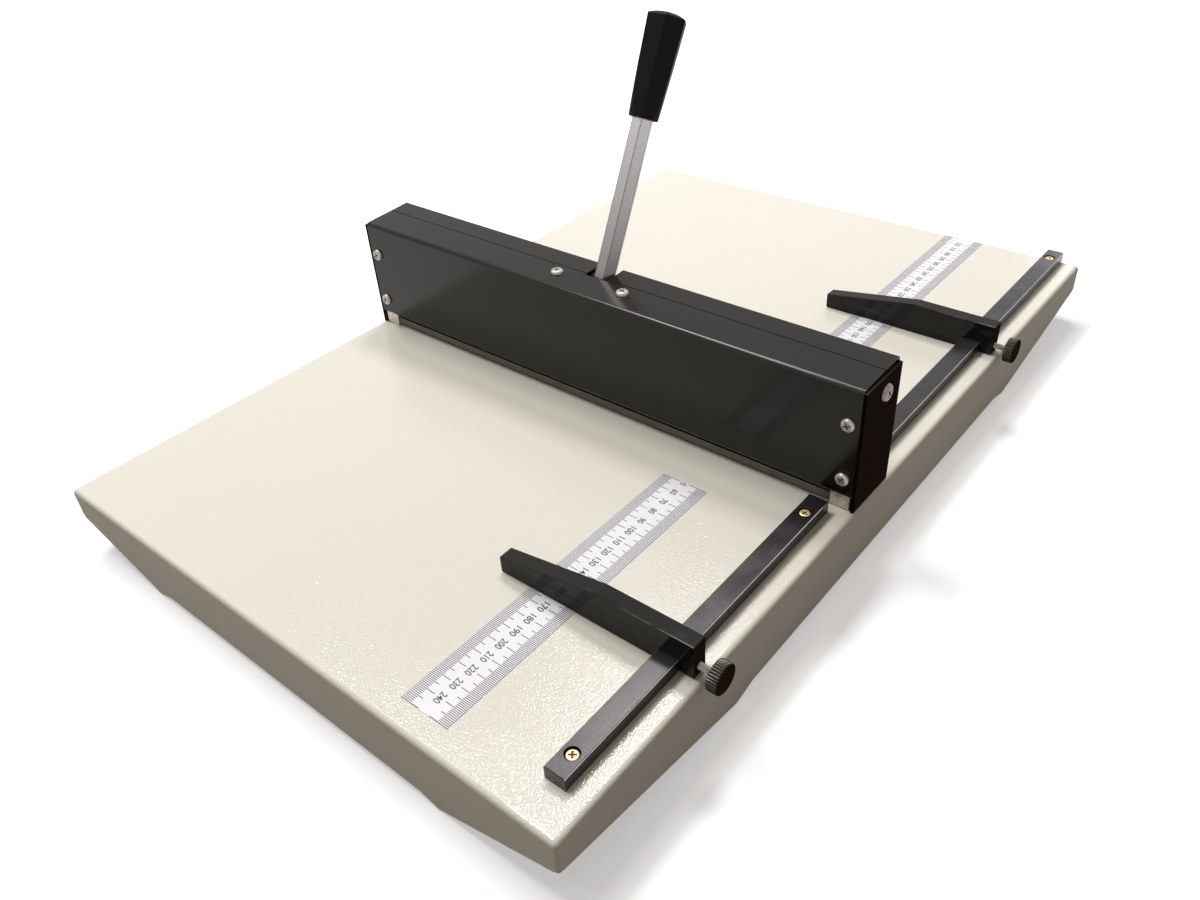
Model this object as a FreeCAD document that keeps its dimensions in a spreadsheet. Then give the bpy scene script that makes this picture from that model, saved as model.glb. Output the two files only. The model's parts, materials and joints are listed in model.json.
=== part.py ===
import FreeCAD, Part
import math
import os
import Sketcher

# A desktop paper creasing machine: a pressed-steel table, a creasing head across it
# with a hand lever, and two paper stops that slide on rails along the right edge.
#
# Every body is drawn from the crease line: X along the crease, Y across it towards the
# back, Z up from the table's top face. The part's own origin is on the ground, in the
# middle of the whole machine, so each body's Placement brings it there.

os.makedirs("parts", exist_ok=True)
doc = FreeCAD.newDocument("paper_creasing_machine")
sheet = doc.addObject("Spreadsheet::Sheet", "sizes")


class Size:
    # a number that remembers the sheet formula it comes from

    def __init__(self, number, formula=None):
        self.number = float(number)
        self.formula = formula or repr(self.number)

    def __add__(self, other):
        other = as_size(other)
        return Size(self.number + other.number, f"({self.formula} + {other.formula})")

    def __sub__(self, other):
        other = as_size(other)
        return Size(self.number - other.number, f"({self.formula} - {other.formula})")

    def __mul__(self, other):
        other = as_size(other)
        return Size(self.number * other.number, f"({self.formula} * {other.formula})")

    def __truediv__(self, other):
        other = as_size(other)
        return Size(self.number / other.number, f"({self.formula} / {other.formula})")

    def __radd__(self, other):
        return as_size(other) + self

    def __rsub__(self, other):
        return as_size(other) - self

    def __rmul__(self, other):
        return as_size(other) * self

    def __neg__(self):
        return Size(-self.number, f"(0 - {self.formula})")


def as_size(value):
    return value if isinstance(value, Size) else Size(value)


def cosine(angle):
    return Size(math.cos(math.radians(angle.number)), f"cos({angle.formula} * 1 deg)")


def sine(angle):
    return Size(math.sin(math.radians(angle.number)), f"sin({angle.formula} * 1 deg)")


driving_sizes = {
    # table: one sheet folded down on four sides
    "table_width": 384, "table_front": 264, "table_back": 334,
    "table_sheet": 1.5, "fold_radius": 3, "corner_radius": 2,
    "corner_depth": 19.5, "skirt_depth": 39.5, "lobe_depth": 43,
    "end_lobe": 117, "end_lobe_run": 12, "side_lobe": 168, "side_lobe_run": 15,
    "return_width": 22, "foot_height": 4.5, "foot_diameter": 18, "foot_spread": 140,
    # head: posts, bridge and covers
    "head_top": 77.4, "head_depth": 39, "top_slope": 2.5, "cover_sheet": 1.2,
    "front_bend": 2.5, "rear_bend": 1.6, "cover_width": 378, "cover_bottom": 9.5,
    "lip_bottom": 8, "lip_end": 175.5, "lip_return": 6, "lip_radius": 3,
    "seam": 3.8, "seam_gap": 0.2, "slot_width": 17, "slot_front": 2, "slot_bottom": 47,
    "post_inside": 176, "post_thickness": 11.4, "post_bottom": 16, "plate_thickness": 3.4,
    "bridge_thickness": 7.7, "bridge_depth": 24, "slot_room": 4, "plate_edge": 0.6,
    # die and the channel that carries it
    "anvil_depth": 20, "anvil_height": 16, "crease_width": 1.6, "crease_depth": 1.2,
    "channel_sheet": 2, "channel_inside": 44, "channel_flange": 10,
    # press bar and blade
    "bar_width": 351.2, "foot_bar_depth": 34.8, "foot_bar_top": 6.5, "foot_bar_edge": 0.8,
    "paper_gap": 1.5,
    "web_depth": 12, "bar_top": 42.8, "tongue_bottom": 17, "tongue_reach": 6.2,
    "blade_thickness": 0.8, "blade_tip": 0.7, "blade_top": 24, "guide_play": 0.05,
    "groove_floor": 3, "groove_headroom": 0.8, "spring_diameter": 5.8,
    # lever, shaft and cams
    "shaft_height": 54.5, "shaft_diameter": 12, "bush_diameter": 16, "shaft_play": 0.05,
    "cam_diameter": 24, "cam_throw": 1.2, "cam_width": 12, "cam_place": 112,
    "lever_lean": 26.9, "lever_swing": 60, "rod_flats": 12, "rod_start": 12,
    "grip_start": 118.1, "grip_end": 175, "grip_dome": 2.7, "grip_flats_low": 17.9,
    "grip_flats_high": 22.1, "grip_round_low": 8.95, "grip_round_slope": 0.096,
    "hub_diameter": 26, "hub_width": 16, "hub_room": 2, "spigot_diameter": 8, "spigot_length": 40,
    # rails, stops and their clamps
    "rail_middle": 173.4, "rail_width": 11.6, "rail_height": 7.8,
    "front_rail_far": 242.6, "front_rail_near": 25.9, "rear_rail_near": 26,
    "rear_rail_far": 332.2,
    "arm_tip": 67.3, "arm_kink": 131.5, "arm_end": 187.6, "arm_thickness": 9,
    "arm_tip_height": 10.2, "arm_height": 21, "arm_clearance": 0.6, "rail_clearance": 0.3,
    "front_stop_place": 159, "rear_stop_place": 179.5,
    "knob_diameter": 16.2, "knob_start": 195.8, "knob_width": 6, "knob_face": 2,
    "knob_grooves": 30, "knob_groove_depth": 0.6, "clamp_height": 5.5, "clamp_diameter": 4,
    # rulers
    "ruler_width": 30, "front_ruler_middle": 101.9, "rear_ruler_middle": 103.4,
    "ruler_thickness": 0.3, "ruler_near": 49.9, "front_ruler_far": 250.3,
    "rear_ruler_far": 331,
}

sheet.set("A1", "size")
sheet.set("B1", "millimetres or degrees")
for row, (name, value) in enumerate(driving_sizes.items(), start=2):
    sheet.set(f"A{row}", name)
    sheet.set(f"B{row}", str(value))
    sheet.setAlias(f"B{row}", name)
doc.recompute()
size = {name: Size(value, f"sizes.{name}") for name, value in driving_sizes.items()}

# sizes that several bodies share
table_half = size["table_width"] / 2
cover_half = size["cover_width"] / 2
head_front = -size["head_depth"] / 2
head_back = size["head_depth"] / 2
post_half_depth = size["head_depth"] / 2 - size["cover_sheet"]
post_outside = size["post_inside"] + size["post_thickness"]
post_top = size["head_top"] - size["cover_sheet"]
plate_outside = post_outside + size["plate_thickness"]
slot_half = size["slot_width"] / 2
post_middle = size["post_inside"] + size["post_thickness"] / 2
bridge_bottom = post_top - size["bridge_thickness"]
bridge_middle = post_top - size["bridge_thickness"] / 2
channel_top = -size["anvil_height"]
channel_bottom = channel_top - size["channel_sheet"]
rail_inside = size["rail_middle"] - size["rail_width"] / 2
rail_outside = size["rail_middle"] + size["rail_width"] / 2
stud_start = rail_outside + size["rail_clearance"]
knob_end = size["knob_start"] + size["knob_width"]
stud_end = knob_end - size["knob_face"]
table_middle = (size["table_back"] - size["table_front"]) / 2

# screws: thread, head diameter, head height and reach below the head of each kind
cover_screw = {"thread": 4, "head": 8, "height": 2.2, "reach": 8.5}
plate_screw = {"thread": 5, "head": 10, "height": 2.2, "reach": 11}
rail_screw = {"thread": 4, "head": 7, "height": 3, "reach": 7}
cap_screw = {"thread": 4, "head": 7, "height": 4, "reach": 19}
post_bolt = {"thread": 8, "flats": 13, "height": 5.3, "reach": 14}
cap_screw_seat = post_outside - cap_screw["height"] - 0.2
blade_screw = 4
clearance = 0.3  # how much wider than its screw a plain hole is
screw_fit = 0.1  # how much wider than its screw a tapped hole is drawn
tapped_depth = 9  # of the covers' and end plates' screw holes in the posts

cover_screw_x = 182.5
cover_screw_heights = {"front": (55.2, 20.2), "rear": (55.2,)}
top_screw_x = 25.5
top_screw_y = -4.6
plate_screw_y = 3
plate_screw_z = 66
blade_screw_places = (-140, 0, 140)
blade_screw_height = 18
front_rail_screws = (-230.8, -40.8)
rear_rail_screws = (41, 319.2)
rail_screw_seat = 4.2
rail_counterbore = 7.6
corner_cut = 1.5  # takes off the corners that would foul the covers' inner bends
bar_edge = 0.4  # chamfer along the rails and the stops' arms
opening_gap = 0.5  # round the posts and the die where they pass the table

# where the crease lies in the part's frame: the machine's outermost points in X are the
# left end plate's screw head and the right-hand knobs, and in Y the table's two ends
crease_place = {
    "x": -(knob_end - plate_outside - plate_screw["height"]) / 2,
    "y": -table_middle,
    "z": size["skirt_depth"] + size["foot_height"],
}


def bind(item, attribute, value):
    # gives the attribute its sheet formula
    item.setExpression(attribute, as_size(value).formula)


def new_body(label, x=0, y=0, z=0, lean=None):
    body = doc.addObject("PartDesign::Body", label)
    body.Label = label
    if lean:
        body.Placement = FreeCAD.Placement(
            FreeCAD.Vector(), FreeCAD.Rotation(FreeCAD.Vector(-1, 0, 0), lean.number)
        )
        bind(body, "Placement.Rotation.Angle", lean)
    for axis, offset in (("x", x), ("y", y), ("z", z)):
        bind(body, f"Placement.Base.{axis}", crease_place[axis] + offset)
    return body


def origin_item(body, role):
    return next(item for item in body.Origin.OriginFeatures if item.Role == role)


# the plane that a profile pushed along each axis is drawn on, the sense of that plane's
# normal along the axis, and the two coordinates that the profile gives
planes = {"X": ("YZ_Plane", 1), "Y": ("XZ_Plane", -1), "Z": ("XY_Plane", 1)}


def rectangle(left, right, low, high):
    return [(left, low), (right, low), (right, high), (left, high)]


def hexagon(x, y, across_flats):
    corners = []
    for step in range(6):
        angle = math.radians(60 * step)
        radius = as_size(across_flats) / math.sqrt(3)
        corners.append((x + radius * math.cos(angle), y + radius * math.sin(angle)))
    return corners


def circle(x, y, diameter):
    return {"x": x, "y": y, "diameter": diameter}


def fix_point(sketch, geometry, end, x, y):
    # holds one point of the sketch at x, y from the sketch's origin
    for kind, value in (("DistanceX", x), ("DistanceY", y)):
        value = as_size(value)
        number = sketch.addConstraint(
            Sketcher.Constraint(kind, -1, 1, geometry, end, value.number)
        )
        bind(sketch, f"Constraints[{number}]", value)


def draw(sketch, shape):
    first = sketch.GeometryCount
    if isinstance(shape, dict):
        x, y, diameter = (as_size(shape[key]) for key in ("x", "y", "diameter"))
        centre = FreeCAD.Vector(x.number, y.number, 0)
        up = FreeCAD.Vector(0, 0, 1)
        sketch.addGeometry(Part.Circle(centre, up, diameter.number / 2), False)
        fix_point(sketch, first, 3, x, y)
        number = sketch.addConstraint(Sketcher.Constraint("Diameter", first, diameter.number))
        bind(sketch, f"Constraints[{number}]", diameter)
        return
    corners = [(as_size(x), as_size(y)) for x, y in shape]
    points = [FreeCAD.Vector(x.number, y.number, 0) for x, y in corners]
    count = len(points)
    for index in range(count):
        line = Part.LineSegment(points[index], points[(index + 1) % count])
        sketch.addGeometry(line, False)
    for index in range(count):
        after = (index + 1) % count
        sketch.addConstraint(
            Sketcher.Constraint("Coincident", first + index, 2, first + after, 1)
        )
        fix_point(sketch, first + index, 1, *corners[index])


def profile(body, axis, shapes, place=0):
    # a sketch of the shapes, square to the axis and at the given place along it
    plane, sense = planes[axis]
    sketch = body.newObject("Sketcher::SketchObject", f"{body.Label}_profile")
    sketch.AttachmentSupport = [(origin_item(body, plane), "")]
    sketch.MapMode = "FlatFace"
    bind(sketch, "AttachmentOffset.Base.z", as_size(place) * sense)
    for shape in shapes:
        draw(sketch, shape)
    return sketch


def add(body, axis, shapes, low, high):
    # a pad of the shapes from low to high along the axis
    sketch = profile(body, axis, shapes, low)
    pad = body.newObject("PartDesign::Pad", f"{body.Label}_pad")
    pad.Profile = sketch
    pad.Reversed = planes[axis][1] < 0
    bind(pad, "Length", as_size(high) - low)
    return pad


def cut(body, axis, shapes, low, high):
    # a pocket of the shapes from low to high along the axis
    sketch = profile(body, axis, shapes, low)
    pocket = body.newObject("PartDesign::Pocket", f"{body.Label}_pocket")
    pocket.Profile = sketch
    pocket.Reversed = planes[axis][1] > 0
    bind(pocket, "Length", as_size(high) - low)
    return pocket


def turn(body, kind, corners):
    # a revolved profile, given as radius and height, about the body's own Z axis
    sketch = profile(body, "Y", [corners])
    feature = body.newObject(f"PartDesign::{kind}", f"{body.Label}_{kind.lower()}")
    feature.Profile = sketch
    feature.ReferenceAxis = (sketch, ["V_Axis"])
    feature.Angle = 360
    return feature


def near(value, target):
    return abs(value - as_size(target).number) < 1e-4


def edges_where(body, test):
    # names of the tip's edges whose two ends and middle all pass the test
    doc.recompute()
    names = []
    for number, edge in enumerate(body.Tip.Shape.Edges, start=1):
        middle = edge.valueAt((edge.FirstParameter + edge.LastParameter) / 2)
        points = [vertex.Point for vertex in edge.Vertexes] + [middle]
        if all(test(point) for point in points):
            names.append(f"Edge{number}")
    return names


def soften(body, kind, amount, test):
    # a Fillet or a Chamfer of the edges that pass the test
    names = edges_where(body, test)
    base = body.Tip
    feature = body.newObject(f"PartDesign::{kind}", f"{body.Label}_{kind.lower()}")
    feature.Base = (base, names)
    bind(feature, "Radius" if kind == "Fillet" else "Size", amount)
    return feature


def span(side, inner, outer):
    # the two ends along X of a thing on the right (1) or the left (-1), lower first
    if side > 0:
        return as_size(inner), as_size(outer)
    return -as_size(outer), -as_size(inner)


def screws(body, axis, places, seat, sense, kind):
    # equal screws along the axis: heads on the seat, standing in the given sense, and
    # shanks that reach the other way
    seat = as_size(seat)
    crown = seat + sense * kind["height"]
    tip = seat - sense * kind["reach"]
    head_ends = (seat, crown) if sense > 0 else (crown, seat)
    shank_ends = (tip, seat) if sense > 0 else (seat, tip)
    add(body, axis, [circle(x, y, kind["head"]) for x, y in places], *head_ends)
    add(body, axis, [circle(x, y, kind["thread"]) for x, y in places], *shank_ends)


# table


def build_table():
    table = new_body("base_table")
    front, back = -size["table_front"], size["table_back"]
    lobe, skirt = -size["lobe_depth"], -size["skirt_depth"]
    sheet_size = size["table_sheet"]
    add(table, "Z", [rectangle(-table_half, table_half, front, back)], lobe, 0)
    corner_x, corner_y = table_half.number, (front.number, back.number)
    soften(table, "Fillet", size["corner_radius"], lambda point: (
        near(abs(point.x), corner_x) and any(near(point.y, end) for end in corner_y)
    ))
    soften(table, "Fillet", size["fold_radius"], lambda point: near(point.z, 0))
    inner = table_half - sheet_size
    cut(table, "Z", [rectangle(-inner, inner, front + sheet_size, back - sheet_size)],
        lobe, -sheet_size)
    soften(table, "Fillet", size["fold_radius"] - sheet_size, lambda point: (
        near(point.z, -sheet_size) and abs(point.x) < inner.number + 0.1
    ))

    # the skirts' lower edges: down from each corner to a rounded lobe, then a
    # straight stretch between the two lobes
    bite = sheet_size * 2
    below = lobe - 1
    for ends, axis, middle, half, tip, run in (
        ((front, front + bite), "Y", 0, table_half, size["end_lobe"], size["end_lobe_run"]),
        ((back - bite, back), "Y", 0, table_half, size["end_lobe"], size["end_lobe_run"]),
        ((-table_half, bite - table_half), "X", table_middle, (back - front) / 2,
         size["side_lobe"], size["side_lobe_run"]),
        ((table_half - bite, table_half), "X", table_middle, (back - front) / 2,
         size["side_lobe"], size["side_lobe_run"]),
    ):
        corner = -size["corner_depth"]
        between = [
            (middle - tip, lobe), (middle - tip + run, skirt),
            (middle + tip - run, skirt), (middle + tip, lobe),
            (middle + tip, below), (middle - tip, below),
        ]
        outer = [
            [(middle + sense * half, corner), (middle + sense * tip, lobe),
             (middle + sense * tip, below), (middle + sense * half, below)]
            for sense in (-1, 1)
        ]
        cut(table, axis, [between], *ends)
        cut(table, axis, outer, *ends)

    # returns folded inwards under the straight stretches
    return_reach = size["return_width"] + sheet_size
    end_half = size["end_lobe"] - size["end_lobe_run"]
    side_half = size["side_lobe"] - size["side_lobe_run"]
    add(table, "Z", [
        rectangle(-end_half, end_half, front + sheet_size / 2, front + return_reach),
        rectangle(-end_half, end_half, back - return_reach, back - sheet_size / 2),
        rectangle(sheet_size / 2 - table_half, return_reach - table_half,
                  table_middle - side_half, table_middle + side_half),
        rectangle(table_half - return_reach, table_half - sheet_size / 2,
                  table_middle - side_half, table_middle + side_half),
    ], skirt, skirt + sheet_size)

    # the openings for the die and the posts, and the rails' screw holes
    die_half = size["anvil_depth"] / 2 + opening_gap
    post_half = post_half_depth + opening_gap
    post_near = size["post_inside"] - opening_gap
    post_far = post_outside + opening_gap
    cut(table, "Z", [rectangle(-post_near, post_near, -die_half, die_half)], -sheet_size, 0)
    cut(table, "Z", [rectangle(*span(side, post_near, post_far), -post_half, post_half)
                     for side in (-1, 1)], -sheet_size, 0)
    cut(table, "Z", [circle(size["rail_middle"], y, rail_screw["thread"] + clearance)
                     for y in front_rail_screws + rear_rail_screws], -sheet_size, 0)
    return table


def foot_places():
    inset = size["table_sheet"] + size["return_width"] / 2
    return [
        (side * (table_half - inset), table_middle + end * size["foot_spread"])
        for end in (-1, 1) for side in (-1, 1)
    ]


def build_feet():
    # stick-on rubber feet under the side returns
    names = ("foot_front_left", "foot_front_right", "foot_rear_left", "foot_rear_right")
    for label, (x, y) in zip(names, foot_places()):
        foot = new_body(label)
        add(foot, "Z", [circle(x, y, size["foot_diameter"])],
            -size["skirt_depth"] - size["foot_height"], -size["skirt_depth"])


# die, channel and posts


def build_bed():
    anvil = new_body("anvil_bar")
    half = size["anvil_depth"] / 2
    crease = size["crease_width"] / 2
    add(anvil, "X", [[
        (-half, -size["anvil_height"]), (half, -size["anvil_height"]), (half, 0), (crease, 0),
        (crease, -size["crease_depth"]), (-crease, -size["crease_depth"]), (-crease, 0),
        (-half, 0),
    ]], -size["post_inside"], size["post_inside"])

    channel = new_body("bed_channel")
    gauge = size["channel_sheet"]
    inside = size["channel_inside"] / 2
    outside = inside + gauge
    edge = outside + size["channel_flange"]
    under = -size["table_sheet"]
    end = table_half - size["fold_radius"]
    add(channel, "X", [[
        (-edge, under), (-inside, under), (-inside, channel_top), (inside, channel_top),
        (inside, under), (edge, under), (edge, under - gauge), (outside, under - gauge),
        (outside, channel_bottom), (-outside, channel_bottom), (-outside, under - gauge),
        (-edge, under - gauge),
    ]], -end, end)
    soften(channel, "Fillet", gauge, lambda point: (
        near(point.z, channel_bottom) and near(abs(point.y), outside)
    ))
    bolts = [(side * post_middle, 0) for side in (-1, 1)]
    cut(channel, "Z", [circle(x, y, post_bolt["thread"] + clearance) for x, y in bolts],
        channel_bottom, channel_top)
    hex_bolts = new_body("post_bolts")
    add(hex_bolts, "Z", [hexagon(x, y, post_bolt["flats"]) for x, y in bolts],
        channel_bottom - post_bolt["height"], channel_bottom)
    add(hex_bolts, "Z", [circle(x, y, post_bolt["thread"]) for x, y in bolts],
        channel_bottom, channel_bottom + post_bolt["reach"])


def under_covers(bottom):
    # the outline that fits inside the covers, seen along X
    depth = post_half_depth
    inset = depth - corner_cut
    return [
        (-depth, bottom), (depth, bottom), (depth, post_top - corner_cut),
        (inset, post_top), (-inset, post_top), (-depth, post_top - corner_cut),
    ]


def build_post(side, name):
    post = new_body(f"{name}_post")
    depth = post_half_depth
    bottom = -size["post_bottom"]
    ends = span(side, size["post_inside"], post_outside)
    add(post, "X", [under_covers(bottom)], *ends)
    # the guide groove for the press bar's tongue, with the lift spring at its foot
    play = size["guide_play"]
    groove_half = size["web_depth"] / 2 + play
    groove_end = size["post_inside"] + size["tongue_reach"] + clearance
    cut(post, "X", [rectangle(
        -groove_half, groove_half, size["groove_floor"],
        size["bar_top"] + size["groove_headroom"],
    )], *span(side, size["post_inside"], groove_end))
    cut(post, "X", [circle(0, size["shaft_height"], size["bush_diameter"])], *ends)
    for face, low, high in (
        ("front", -depth, tapped_depth - depth), ("rear", depth - tapped_depth, depth),
    ):
        cut(post, "Y", [
            circle(side * cover_screw_x, height, cover_screw["thread"] + screw_fit)
            for height in cover_screw_heights[face]
        ], low, high)
    cut(post, "X", [circle(plate_screw_y, plate_screw_z, plate_screw["thread"] + screw_fit)],
        *span(side, post_outside - tapped_depth, post_outside))
    cut(post, "X", [circle(0, bridge_middle, cap_screw["thread"] + clearance)], *ends)
    cut(post, "X", [circle(0, bridge_middle, cap_screw["head"] + clearance)],
        *span(side, cap_screw_seat, post_outside))
    cut(post, "Z", [circle(side * post_middle, 0, post_bolt["thread"] + screw_fit)],
        bottom, channel_bottom + post_bolt["reach"] + clearance)

    plate = new_body(f"{name}_end_plate")
    add(plate, "X", [rectangle(head_front, head_back, 0, post_top)],
        *span(side, cover_half, plate_outside))
    soften(plate, "Fillet", size["plate_edge"], lambda point: (
        near(abs(point.x), plate_outside) and point.z > 0.1
    ))
    add(plate, "X", [under_covers(0)], *span(side, post_outside, cover_half))
    cut(plate, "X", [circle(plate_screw_y, plate_screw_z, plate_screw["thread"] + clearance)],
        *span(side, post_outside, plate_outside))


def build_post_fittings():
    # the bushes that the shaft turns in, and the screws that hold the end plates
    bushes = new_body("shaft_bushes")
    bore = size["shaft_diameter"] + 2 * size["shaft_play"]
    plate_screws = new_body("end_plate_screws")
    for side in (-1, 1):
        add(bushes, "X", [
            circle(0, size["shaft_height"], size["bush_diameter"]),
            circle(0, size["shaft_height"], bore),
        ], *span(side, size["post_inside"], post_outside))
        screws(plate_screws, "X", [(plate_screw_y, plate_screw_z)], side * plate_outside,
               side, plate_screw)


def build_bridge():
    bridge = new_body("bridge_bar")
    half = size["bridge_depth"] / 2
    reach = size["post_inside"]
    add(bridge, "X", [rectangle(-half, half, bridge_bottom, post_top)], -reach, reach)
    room_front = size["slot_front"] - size["slot_room"]
    cut(bridge, "Z", [rectangle(-slot_half, slot_half, room_front, half)],
        bridge_bottom, post_top)
    cut(bridge, "Z", [circle(side * top_screw_x, top_screw_y, cover_screw["thread"] + screw_fit)
                      for side in (-1, 1)], bridge_bottom, post_top)
    bridge_screws = new_body("bridge_screws")
    tap_start = cap_screw_seat - cap_screw["reach"] - clearance
    for side in (-1, 1):
        cut(bridge, "X", [circle(0, bridge_middle, cap_screw["thread"] + screw_fit)],
            *span(side, tap_start, reach))
        screws(bridge_screws, "X", [(0, bridge_middle)], side * cap_screw_seat, side, cap_screw)


# covers


def cover_top(y):
    # height of the covers' top face, which climbs towards the back
    slope = sine(size["top_slope"]) / cosine(size["top_slope"])
    return size["head_top"] + (y - head_front) * slope


def build_cover(name, sense, bend, flange_end):
    # one sheet: a flange on top, the upright side, and a lip turned in at the bottom;
    # sense is -1 for the front cover and 1 for the rear one
    cover = new_body(f"{name}_cover")
    gauge = size["cover_sheet"]
    lip = size["lip_bottom"]
    outer = sense * size["head_depth"] / 2
    inner = outer - sense * gauge
    lip_end = outer - sense * size["lip_return"]
    under_bend = cover_top(inner) - gauge
    add(cover, "X", [[
        (outer, lip), (outer, cover_top(outer)), (flange_end, cover_top(flange_end)),
        (flange_end, cover_top(flange_end) - gauge), (inner, under_bend),
        (inner, lip + gauge), (lip_end, lip + gauge), (lip_end, lip),
    ]], -cover_half, cover_half)
    for edge_y, edge_z, radius in (
        (outer, cover_top(outer), bend),
        (inner, under_bend, bend - gauge),
        (outer, lip, size["lip_radius"]),
        (inner, lip + gauge, size["lip_radius"] - gauge),
    ):
        soften(cover, "Fillet", radius,
               lambda point: near(point.y, edge_y) and near(point.z, edge_z))

    # beside the posts' feet the lip is cut off; the screws pass through the upright side
    through = (outer, inner) if sense < 0 else (inner, outer)
    within = (inner, lip_end) if sense < 0 else (lip_end, inner)
    for top, ends in ((size["cover_bottom"], through), (lip + size["lip_radius"], within)):
        cut(cover, "Y", [
            rectangle(*span(side, size["lip_end"], cover_half), lip, top) for side in (-1, 1)
        ], *ends)
    cut(cover, "Y", [
        circle(side * cover_screw_x, place, cover_screw["thread"] + clearance)
        for side in (-1, 1) for place in cover_screw_heights[name]
    ], *through)
    return cover


def build_covers():
    seam_half = size["seam_gap"] / 2
    front = build_cover("front", -1, size["front_bend"], size["seam"] - seam_half)
    rear = build_cover("rear", 1, size["rear_bend"], size["seam"] + seam_half)
    over = cover_top(head_back)
    cut(front, "Z", [rectangle(-slot_half, slot_half, size["slot_front"], size["seam"])],
        post_top, over)
    cut(rear, "Z", [rectangle(-slot_half, slot_half, size["seam"], head_back)],
        size["slot_bottom"], over)

    # each top screw's head sits level, sunk into the slope at its rear edge
    screw_seat = cover_top(top_screw_y - cover_screw["head"] / 2)
    for diameter, low in ((cover_screw["thread"], post_top), (cover_screw["head"], screw_seat)):
        cut(front, "Z", [circle(side * top_screw_x, top_screw_y, diameter + clearance)
                         for side in (-1, 1)], low, over)

    for name, face, sense in (("front", head_front, -1), ("rear", head_back, 1)):
        places = [(side * cover_screw_x, height)
                  for side in (-1, 1) for height in cover_screw_heights[name]]
        screws(new_body(f"{name}_cover_screws"), "Y", places, face, sense, cover_screw)
    screws(new_body("top_cover_screws"), "Z",
           [(side * top_screw_x, top_screw_y) for side in (-1, 1)], screw_seat, 1, cover_screw)


# press bar and blade


def build_press():
    bar = new_body("press_bar")
    foot = size["foot_bar_depth"] / 2
    web = size["web_depth"] / 2
    low, shoulder, top = size["paper_gap"], size["foot_bar_top"], size["bar_top"]
    reach = size["bar_width"] / 2
    slit = size["blade_thickness"] / 2 + size["guide_play"]
    add(bar, "X", [[
        (-foot, low), (-slit, low), (-slit, size["blade_top"]), (slit, size["blade_top"]),
        (slit, low), (foot, low), (foot, shoulder), (web, shoulder), (web, top), (-web, top),
        (-web, shoulder), (-foot, shoulder),
    ]], -reach, reach)
    soften(bar, "Fillet", size["foot_bar_edge"],
           lambda point: near(abs(point.y), foot) and near(point.z, low))
    tongue_end = size["post_inside"] + size["tongue_reach"]
    for side in (-1, 1):
        add(bar, "X", [rectangle(-web, web, size["tongue_bottom"], top)],
            *span(side, reach, tongue_end))
    # the hollow that clears the lever's hub
    hollow = size["hub_width"] / 2 + size["hub_room"]
    floor = size["shaft_height"] - size["hub_diameter"] / 2 - size["hub_room"]
    cut(bar, "Y", [rectangle(-hollow, hollow, floor, top)], -web, web)
    screw_places = [(x, blade_screw_height) for x in blade_screw_places]
    cut(bar, "Y", [circle(x, z, blade_screw + screw_fit) for x, z in screw_places],
        -web, -slit)

    blade = new_body("creasing_blade")
    half = size["blade_thickness"] / 2
    add(blade, "X", [rectangle(-half, half, size["blade_tip"], size["blade_top"])],
        -reach, reach)
    soften(blade, "Fillet", half * 0.9, lambda point: near(point.z, size["blade_tip"]))
    grubs = new_body("blade_set_screws")
    add(grubs, "Y", [circle(x, z, blade_screw) for x, z in screw_places], -web, -half)


def build_spring(side, name):
    # a block of polyurethane, the kind of spring that press tools use, between the
    # groove's floor and the tongue
    middle = side * (size["post_inside"] + size["tongue_reach"] / 2)
    spring = new_body(f"{name}_lift_spring", middle, 0, size["groove_floor"])
    height = size["tongue_bottom"] - size["groove_floor"]
    add(spring, "Z", [circle(0, 0, size["spring_diameter"])], 0, height)


# lever, shaft and cams


def build_lever():
    pivot = size["shaft_height"]
    lean = size["lever_lean"]
    shaft_radius = size["shaft_diameter"] / 2
    spigot = size["spigot_diameter"]

    shaft = new_body("cam_shaft", 0, 0, pivot)
    shaft_end = post_outside - clearance
    add(shaft, "X", [circle(0, 0, size["shaft_diameter"])], -shaft_end, shaft_end)

    # each cam is a disc whose centre lies off the shaft's: half the lever's swing above
    # level at rest and as far below it at the end, which lowers the bar by the throw
    half_swing = size["lever_swing"] / 2
    cams = new_body("cams", 0, 0, pivot)
    for side in (-1, 1):
        add(cams, "X", [
            circle(size["cam_throw"] * cosine(half_swing), size["cam_throw"] * sine(half_swing),
                   size["cam_diameter"]),
            circle(0, 0, size["shaft_diameter"]),
        ], *span(side, size["cam_place"] - size["cam_width"] / 2,
                 size["cam_place"] + size["cam_width"] / 2))

    hub = new_body("lever_hub", 0, 0, pivot, lean)
    hub_half = size["hub_width"] / 2
    hub_radius = size["hub_diameter"] / 2
    add(hub, "X", [circle(0, 0, size["hub_diameter"]), circle(0, 0, size["shaft_diameter"])],
        -hub_half, hub_half)
    cut(hub, "Z", [rectangle(-hub_half, hub_half, -hub_radius, hub_radius)],
        size["rod_start"], hub_radius)
    cut(hub, "Z", [circle(0, 0, spigot)], 0, size["rod_start"])

    # the rod's lower thread goes right through to the shaft and clamps the hub on it
    rod = new_body("lever_rod", 0, 0, pivot, lean)
    add(rod, "Z", [hexagon(0, 0, size["rod_flats"])], size["rod_start"], size["grip_start"])
    add(rod, "Z", [circle(0, 0, spigot)], shaft_radius, size["rod_start"])
    add(rod, "Z", [circle(0, 0, spigot)], size["grip_start"],
        size["grip_start"] + size["spigot_length"])

    build_grip(pivot, lean, spigot)


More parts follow.
